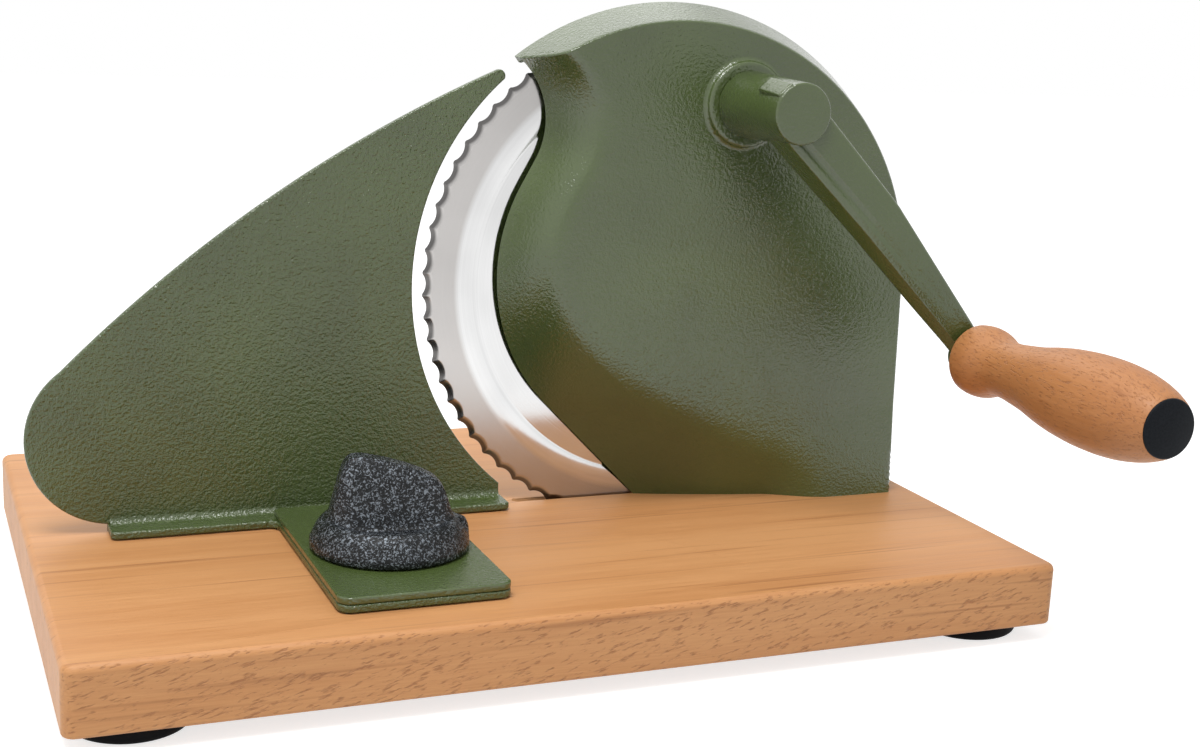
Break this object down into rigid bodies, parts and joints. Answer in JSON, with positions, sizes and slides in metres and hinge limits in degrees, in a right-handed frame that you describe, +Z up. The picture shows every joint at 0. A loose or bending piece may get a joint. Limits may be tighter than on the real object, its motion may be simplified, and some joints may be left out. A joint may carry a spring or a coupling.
{
  "type": "hand-cranked bread slicer",
  "caption": "Bread slicer on a wooden board: a crank turns a round scalloped blade behind a swept metal cover, and a knob slides the stop plate to set the slice.",
  "frame": {"origin": "middle of the outline in plan, at the underside of the feet", "axes": "+X to the right along the board, +Y away from the crank side, +Z up"},
  "size_m": [0.3434, 0.2856, 0.214],
  "materials": {
    "beech": "satin, oiled",
    "turned_beech": "satin, lacquered",
    "green_enamel": "gloss, fine orange peel",
    "blade_steel": "fine brushed",
    "gear_steel": "machined",
    "screw_steel": "zinc plated",
    "bush_brass": "turned",
    "black_rubber": "matte",
    "black_plastic": "matte",
    "pale_nylon": "matte",
    "hammertone": "dark hammertone enamel",
    "rail_aluminium": "extruded"
  },
  "bodies": {
    "base": {"board": "beech", "rubber_feet": "black_rubber", "foot_screws": "screw_steel", "housing": "green_enamel", "housing_screws": "screw_steel", "crank_bush": "bush_brass", "blade_axle": "gear_steel", "axle_screw": "screw_steel", "guide_rails": "rail_aluminium", "rail_screws": "screw_steel", "gear_rack": "pale_nylon", "rack_screws": "screw_steel"},
    "blade": {"blade": "blade_steel", "blade_gear": "gear_steel", "gear_bush": "bush_brass", "blade_screws": "screw_steel"},
    "crank": {"crank_casting": "green_enamel", "crank_grub_screw": "screw_steel", "crank_shaft": "gear_steel", "crank_pinion": "gear_steel", "pinion_key": "gear_steel", "pinion_screw": "screw_steel", "handle_bolt": "screw_steel", "handle_washer": "screw_steel"},
    "handle": {"handle_grip": "turned_beech", "handle_sleeve": "bush_brass", "handle_cap": "black_plastic"},
    "stop": {"stop_plate": "green_enamel", "knob_plate": "green_enamel", "slide_shoes": "pale_nylon", "shoe_screws": "screw_steel", "spindle_bush": "bush_brass"},
    "knob": {"knob": "hammertone", "knob_spindle": "gear_steel", "knob_washer": "pale_nylon", "knob_pinion": "gear_steel", "spindle_clip": "screw_steel"}
  },
  "joints": [
    {"name": "crank_turn", "type": "hinge", "parent": "base", "child": "crank", "pos_m": [0.07966, -0.0052, 0.17905], "axis": [0, 1, 0], "continuous": true},
    {"name": "blade_turn", "type": "hinge", "parent": "base", "child": "blade", "pos_m": [0.06131, 0.0298, 0.1115], "axis": [0, 1, 0], "continuous": true},
    {"name": "handle_spin", "type": "hinge", "parent": "crank", "child": "handle", "pos_m": [0.15559, -0.0852, 0.09201], "axis": [0, 1, 0], "continuous": true},
    {"name": "stop_slide", "type": "slide", "parent": "base", "child": "stop", "axis": [0, -1, 0], "range_m": [0, 0.018]},
    {"name": "knob_turn", "type": "hinge", "parent": "stop", "child": "knob", "pos_m": [-0.05989, -0.0214, 0.038], "axis": [0, 0, -1], "range_deg": [0, 171.9]}
  ],
  "couplings": [
    {"joint": "blade_turn", "follows": "crank_turn", "ratio": -0.34615},
    {"joint": "knob_turn", "follows": "stop_slide", "rad_per_m": 166.67}
  ]
}
